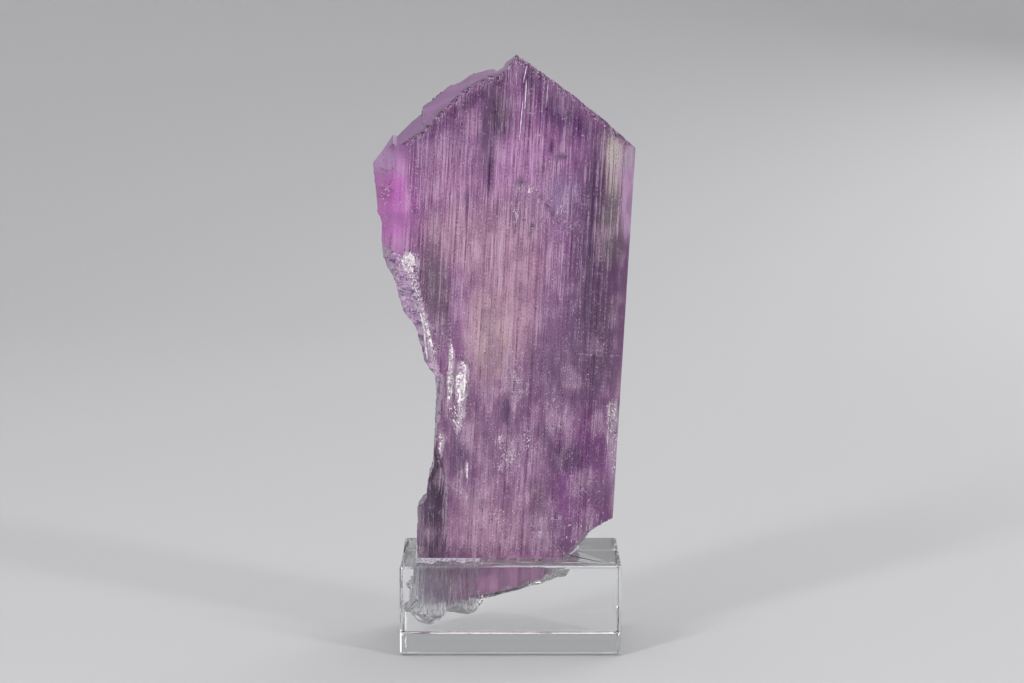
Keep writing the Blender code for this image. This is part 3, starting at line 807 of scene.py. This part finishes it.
# Places with grains: middle and half size as x and z, lean in degrees, how many, the largest radius
GRAINY = [
    ((-0.0266, 0.1085), (0.0019, 0.0028), 0, 120, 0.00044),
    ((-0.0250, 0.1020), (0.0010, 0.0050), -14, 44, 0.00030),
    ((-0.0214, 0.0900), (0.0004, 0.0075), -14, 90, 0.00032),
    ((-0.0205, 0.0850), (0.0012, 0.0050), -14, 22, 0.00028),
    ((-0.0150, 0.0780), (0.0006, 0.0078), 3, 110, 0.00042),
    ((-0.0118, 0.0745), (0.0013, 0.0064), 3, 190, 0.00044),
    ((-0.0135, 0.0660), (0.0022, 0.0028), 0, 30, 0.00026),
    ((-0.0178, 0.0575), (0.0006, 0.0028), 0, 18, 0.00028),
    ((-0.0103, 0.0500), (0.0002, 0.0024), 2, 14, 0.00020),
    ((0.0306, 0.0650), (0.0012, 0.0050), 3, 44, 0.00024),
    ((0.0314, 0.0540), (0.0010, 0.0070), 3, 40, 0.00018),
    ((0.0010, 0.0545), (0.0022, 0.0030), -30, 16, 0.00018),
    ((0.0065, 0.0590), (0.0008, 0.0030), 0, 16, 0.00020),
    ((-0.0020, 0.0345), (0.0080, 0.0050), 0, 20, 0.00016),
    ((0.0170, 0.0335), (0.0080, 0.0040), 0, 20, 0.00016),
    ((0.0050, 0.0600), (0.0240, 0.0300), 0, 24, 0.00014),
    ((0.0080, 0.1292), (0.0022, 0.0007), -30, 10, 0.00018),
    ((-0.0330, 0.1270), (0.0016, 0.0034), 20, 14, 0.00018),
]

# Long splinters below the tip, in the chips and along the left break: middle as x and z, half length, lean
# in degrees and radius
SLIVERS = [
    ((0.0060, 0.1615), 0.0026, 12, 0.00011),
    ((0.0062, 0.1560), 0.0046, 3, 0.00011),
    ((0.0049, 0.1485), 0.0060, 5, 0.00011),
    ((0.0122, 0.1560), 0.0044, 4, 0.00011),
    ((-0.0152, 0.0800), 0.0050, 3, 0.00030),
    ((-0.0146, 0.0722), 0.0030, 3, 0.00026),
    ((-0.0109, 0.0765), 0.0052, 3, 0.00034),
    ((-0.0124, 0.0700), 0.0034, 2, 0.00032),
    ((-0.0133, 0.0752), 0.0028, 3, 0.00020),
    ((-0.0140, 0.0640), 0.0022, -30, 0.00022),
    ((-0.0231, 0.0935), 0.0050, -12, 0.00034),
    ((-0.0220, 0.0850), 0.0044, -6, 0.00030),
    ((-0.0178, 0.0570), 0.0024, 3, 0.00026),
    ((-0.0103, 0.0498), 0.0022, 2, 0.00024),
]
surface = BVHTree.FromObject(crystal, bpy.context.evaluated_depsgraph_get())


def add_chip(heap, landed, tilt, shape, roundness, subdivisions=1):
    """An uneven ball of the given shape, turned and set down at a point."""
    made = bmesh.ops.create_icosphere(heap, subdivisions=subdivisions, radius=1.0)
    for vert in made["verts"]:
        vert.co *= rng.uniform(*roundness)
    bmesh.ops.transform(heap, verts=made["verts"], matrix=Matrix.Translation(landed) @ tilt @ shape)


heap = bmesh.new()
for middle, half_size, lean, count, largest in GRAINY:
    turn = math.radians(lean)
    for index in range(count):
        bearing = rng.uniform(0, math.tau)
        reach = math.sqrt(rng.random())
        sideways = half_size[0] * reach * math.cos(bearing)
        upright = half_size[1] * reach * math.sin(bearing)
        x = middle[0] + sideways * math.cos(turn) + upright * math.sin(turn)
        z = middle[1] - sideways * math.sin(turn) + upright * math.cos(turn)
        landed = surface.ray_cast(Vector((x, BEFORE_THE_FRONT, z)), Vector((0, 1, 0)))[0]
        radius = rng.uniform(SMALLEST_GRAIN, largest)
        shape = Matrix.Diagonal((rng.uniform(0.6, 1.0), 0.6, rng.uniform(0.8, 1.8), 1 / radius))
        tilt = Euler([rng.uniform(-0.6, 0.6) for axis in range(3)]).to_matrix().to_4x4()
        if landed is not None and landed.z >= LOWEST_GRAIN:
            add_chip(heap, landed, tilt, shape * radius, GRAIN_ROUNDNESS)
for middle, half_length, lean, radius in SLIVERS:
    before = Vector((middle[0], BEFORE_THE_FRONT, middle[1]))
    landed = surface.ray_cast(before, Vector((0, 1, 0)))[0]
    shape = Matrix.Diagonal((radius, radius, half_length, 1))
    turned = Matrix.Rotation(math.radians(lean), 4, "Y")
    add_chip(heap, landed, turned, shape, SLIVER_ROUNDNESS, subdivisions=2)
grain_mesh = bpy.data.meshes.new("crushed_grains")
heap.to_mesh(grain_mesh)
heap.free()
grains = bpy.data.objects.new("crushed_grains", grain_mesh)
bpy.context.scene.collection.objects.link(grains)
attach(grains, "root")

powder, given, result = new_group(
    "powder",
    [("Place", "Vector"), ("Scale", "Float"), ("Shade", "Color"), ("Tint", "Color")],
    [("Color", "Color"), ("Height", "Float")],
)
speckle = {"Vector": given["Place"], "Scale": given["Scale"], "Detail": 1.0}
specks = add_node(powder, "TexNoise", speckle).outputs[0]
mixed = blend(powder, remap(powder, specks, 0.42, 0.56), given["Shade"], given["Tint"])
powder.links.new(mixed, result["Color"])
powder.links.new(specks, result["Height"])

crushed_stone = bpy.data.materials.new("crushed kunzite")
crushed_stone.use_nodes = True
tree = crushed_stone.node_tree
position = add_node(tree, "TexCoord").outputs["Object"]
dusty = use_group(
    tree, powder, Place=position, Scale=900.0, Shade=(0.70, 0.54, 0.70, 1), Tint=(1.0, 0.98, 0.93, 1)
)
splinter = tree.nodes["Principled BSDF"]
splinter.inputs["IOR"].default_value = KUNZITE_IOR
splinter.inputs["Roughness"].default_value = 0.35
tree.links.new(dusty["Color"], splinter.inputs["Base Color"])
bump = add_node(tree, "Bump", {"Height": dusty["Height"], "Strength": 0.5, "Distance": RELIEF})
tree.links.new(bump.outputs[0], splinter.inputs["Normal"])
grains.data.materials.append(crushed_stone)

# The base. One block of clear cast acrylic, polished outside. Its socket was carved by hand to the broken
# foot of the crystal: the left half shows upright tool marks and a lumpy frosted floor.
SOCKET_X = (-0.0290, 0.0230)
SOCKET_HALF_DEPTH = 0.0122
SOCKET_TOP = 0.02495
BELOW_THE_TOP = 0.00001
SOCKET_LOW = 0.0040
SOCKET_MIDDLE = 0.02
SOCKET_STEP = 0.0012
MARK_WIDTH = (0.0004, 0.0009)
MARK_DEPTH = 0.00035
MARKS = (0.0006, 0.020)
STEEP = 0.35
LUMP_DEPTH = 0.00330
LUMP_GRAIN = 0.0050
LUMP_MOVE = 0.0002
LUMP_SMOOTHINGS = 2
FLOOR_FACING_UP = 0.3

# How far the socket is worked over: where its left part ends, where its right end starts, and how much the
# part between them is
WORKED_LEFT = (-0.0090, -0.0050)
WORKED_RIGHT = (0.0080, 0.0120)
RIGHT_WORK = 0.5
LEFT_ALONE = 0.12

block = bmesh.new()
block.from_mesh(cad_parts["base"].data)
bmesh.ops.remove_doubles(block, verts=block.verts, dist=MERGED_POINTS)
bmesh.ops.dissolve_limit(block, angle_limit=FLAT_ANGLE, verts=block.verts, edges=block.edges)


def in_socket(face):
    """Whether a face of the block is part of the carved socket."""
    middle = face.calc_center_median()
    inside = SOCKET_X[0] < middle.x < SOCKET_X[1] and abs(middle.y) < SOCKET_HALF_DEPTH
    return inside and SOCKET_LOW < middle.z < SOCKET_TOP


def slice_socket(place, normal):
    faces = [face for face in block.faces if in_socket(face)]
    bmesh.ops.bisect_plane(block, geom=parts_of(faces), dist=ON_THE_CUT, plane_co=place, plane_no=normal)


height = SOCKET_LOW + SOCKET_STEP
while height < SOCKET_TOP:
    slice_socket(Vector((0, 0, height)), Vector((0, 0, 1)))
    height += SOCKET_STEP
depth = -SOCKET_HALF_DEPTH + SOCKET_STEP
while depth < SOCKET_HALF_DEPTH:
    slice_socket(Vector((0, depth, 0)), Vector((0, 1, 0)))
    depth += SOCKET_STEP
across = SOCKET_X[0]
while across < SOCKET_X[1]:
    slice_socket(Vector((across, 0, SOCKET_MIDDLE)), ACROSS)
    across += rng.uniform(*MARK_WIDTH)
bmesh.ops.triangulate(block, faces=[face for face in block.faces if in_socket(face) and len(face.verts) > 4])
carved_layer = block.faces.layers.float.new("carved")
socket_faces = [face for face in block.faces if in_socket(face)]
for face in socket_faces:
    face[carved_layer] = 1.0
moves = {}
for face in socket_faces:
    for vert in face.verts:
        if vert.co.z < SOCKET_TOP - BELOW_THE_TOP:
            moves[vert] = moves.get(vert, Vector()) + face.normal * face.calc_area()
for vert, normal in moves.items():
    normal.normalize()
    upright = abs(normal.z) < STEEP
    marks = ripple(vert.co.x, vert.co.z, 6.1, *MARKS)
    lumps = min(max(0.5 + noise.noise(vert.co / LUMP_GRAIN), 0.0), 1.0)
    left = (WORKED_LEFT[1] - vert.co.x) / (WORKED_LEFT[1] - WORKED_LEFT[0])
    right = (vert.co.x - WORKED_RIGHT[0]) / (WORKED_RIGHT[1] - WORKED_RIGHT[0])
    worked = min(max(left, RIGHT_WORK * right, LEFT_ALONE), 1.0)
    moves[vert] = -normal * worked * (MARK_DEPTH * marks if upright else LUMP_DEPTH * lumps)
for vert, move in moves.items():
    vert.co += move
lumpy = [vert for vert, move in moves.items() if abs(move.z) > LUMP_MOVE]
for turn in range(LUMP_SMOOTHINGS):
    bmesh.ops.smooth_vert(block, verts=lumpy, factor=0.5, use_axis_x=True, use_axis_y=True, use_axis_z=True)
for face in socket_faces:
    face.smooth = abs(face.normal.z) > FLOOR_FACING_UP
block_mesh = bpy.data.meshes.new("acrylic_block")
block.to_mesh(block_mesh)
block.free()
base = bpy.data.objects.new("acrylic_block", block_mesh)
bpy.context.scene.collection.objects.link(base)
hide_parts("base")
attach(base, "root")

ACRYLIC_IOR = 1.49
CLEAR = (0.98, 0.99, 0.99, 1)
FROSTED = (0.96, 0.95, 1.0, 1)
FROST_RELIEF = 0.0004

acrylic = bpy.data.materials.new("clear acrylic")
acrylic.use_nodes = True
tree = acrylic.node_tree
position = add_node(tree, "TexCoord").outputs["Object"]
carved = attribute(tree, "carved")
placed = add_node(tree, "SeparateXYZ", {0: position}).outputs
across = plus(tree, placed["X"], placed["Y"])
place = add_node(tree, "CombineXYZ", {"X": across, "Y": placed["Z"]}).outputs[0]
scrape = use_group(tree, streaks, Place=place, Width=0.0005, Length=0.008, Seed=5.3)["Value"]
frost = add_node(tree, "TexNoise", {"Vector": position, "Scale": 900.0, "Detail": 4.0}).outputs[0]
left_half = remap(tree, placed["X"], -0.0060, -0.0085)
right_end = remap(tree, placed["X"], 0.0100, 0.0120)
worked = arithmetic(tree, "MAXIMUM", left_half, right_end)
scraped = times(tree, worked, remap(tree, scrape, 0.40, 0.60, 0.45, 1.0))
frosted = times(tree, carved, scraped)
clear = tree.nodes["Principled BSDF"]
clear.inputs["IOR"].default_value = ACRYLIC_IOR
clear.inputs["Transmission Weight"].default_value = 1.0
tree.links.new(remap(tree, frosted, 0.0, 1.0, 0.02, 0.75), clear.inputs["Roughness"])
tree.links.new(blend(tree, frosted, CLEAR, FROSTED), clear.inputs["Base Color"])
frost_height = times(tree, plus(tree, frost, scrape), frosted)
bump = add_node(tree, "Bump", {"Height": frost_height, "Strength": 0.8, "Distance": FROST_RELIEF})
tree.links.new(bump.outputs[0], clear.inputs["Normal"])
base.data.materials.append(acrylic)

# The ground lip. Where the socket's left half meets the block's top, the carving tool has crumbled the
# acrylic into small white chips. They are part of the block.
LIP_X = (-0.0244, -0.0070)
LIP_Y = (-0.0190, -0.0122)
LIP_CHIPS = 520
LIP_WAVE = 0.0035
CHIP_RADIUS = (0.00018, 0.00060)
ABOVE_THE_BLOCK = 0.05
OFF_THE_TOP = 0.0001
block_surface = BVHTree.FromObject(base, bpy.context.evaluated_depsgraph_get())
heap = bmesh.new()
for index in range(LIP_CHIPS):
    share = rng.random() ** 2
    x = rng.uniform(*LIP_X)
    y = LIP_Y[1] + (LIP_Y[0] - LIP_Y[1]) * share * (0.10 + 1.2 * ripple(x, 0, 3.7, LIP_WAVE, 1.0))
    landed = block_surface.ray_cast(Vector((x, y, ABOVE_THE_BLOCK)), Vector((0, 0, -1)))[0]
    radius = rng.uniform(*CHIP_RADIUS)
    shape = Matrix.Diagonal((rng.uniform(0.8, 1.8), rng.uniform(0.6, 1.2), 0.5, 1 / radius))
    tilt = Euler((0, 0, rng.uniform(-0.8, 0.8))).to_matrix().to_4x4()
    if landed is not None and landed.z >= SOCKET_TOP - OFF_THE_TOP:
        add_chip(heap, landed, tilt, shape * radius, GRAIN_ROUNDNESS)
lip_mesh = bpy.data.meshes.new("ground_lip")
heap.to_mesh(lip_mesh)
heap.free()
lip = bpy.data.objects.new("ground_lip", lip_mesh)
bpy.context.scene.collection.objects.link(lip)
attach(lip, "root")

ground_acrylic = bpy.data.materials.new("ground acrylic")
ground_acrylic.use_nodes = True
tree = ground_acrylic.node_tree
position = add_node(tree, "TexCoord").outputs["Object"]
chalky = use_group(
    tree, powder, Place=position, Scale=1400.0, Shade=(0.26, 0.23, 0.29, 1), Tint=(0.62, 0.60, 0.68, 1)
)
chips = tree.nodes["Principled BSDF"]
chips.inputs["IOR"].default_value = ACRYLIC_IOR
chips.inputs["Roughness"].default_value = 0.5
tree.links.new(chalky["Color"], chips.inputs["Base Color"])
bump = add_node(tree, "Bump", {"Height": chalky["Height"], "Strength": 0.5, "Distance": RELIEF})
tree.links.new(bump.outputs[0], chips.inputs["Normal"])
lip.data.materials.append(ground_acrylic)

size = {"cad": [list(corner) for corner in cad_box], "visual": [list(corner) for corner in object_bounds()]}
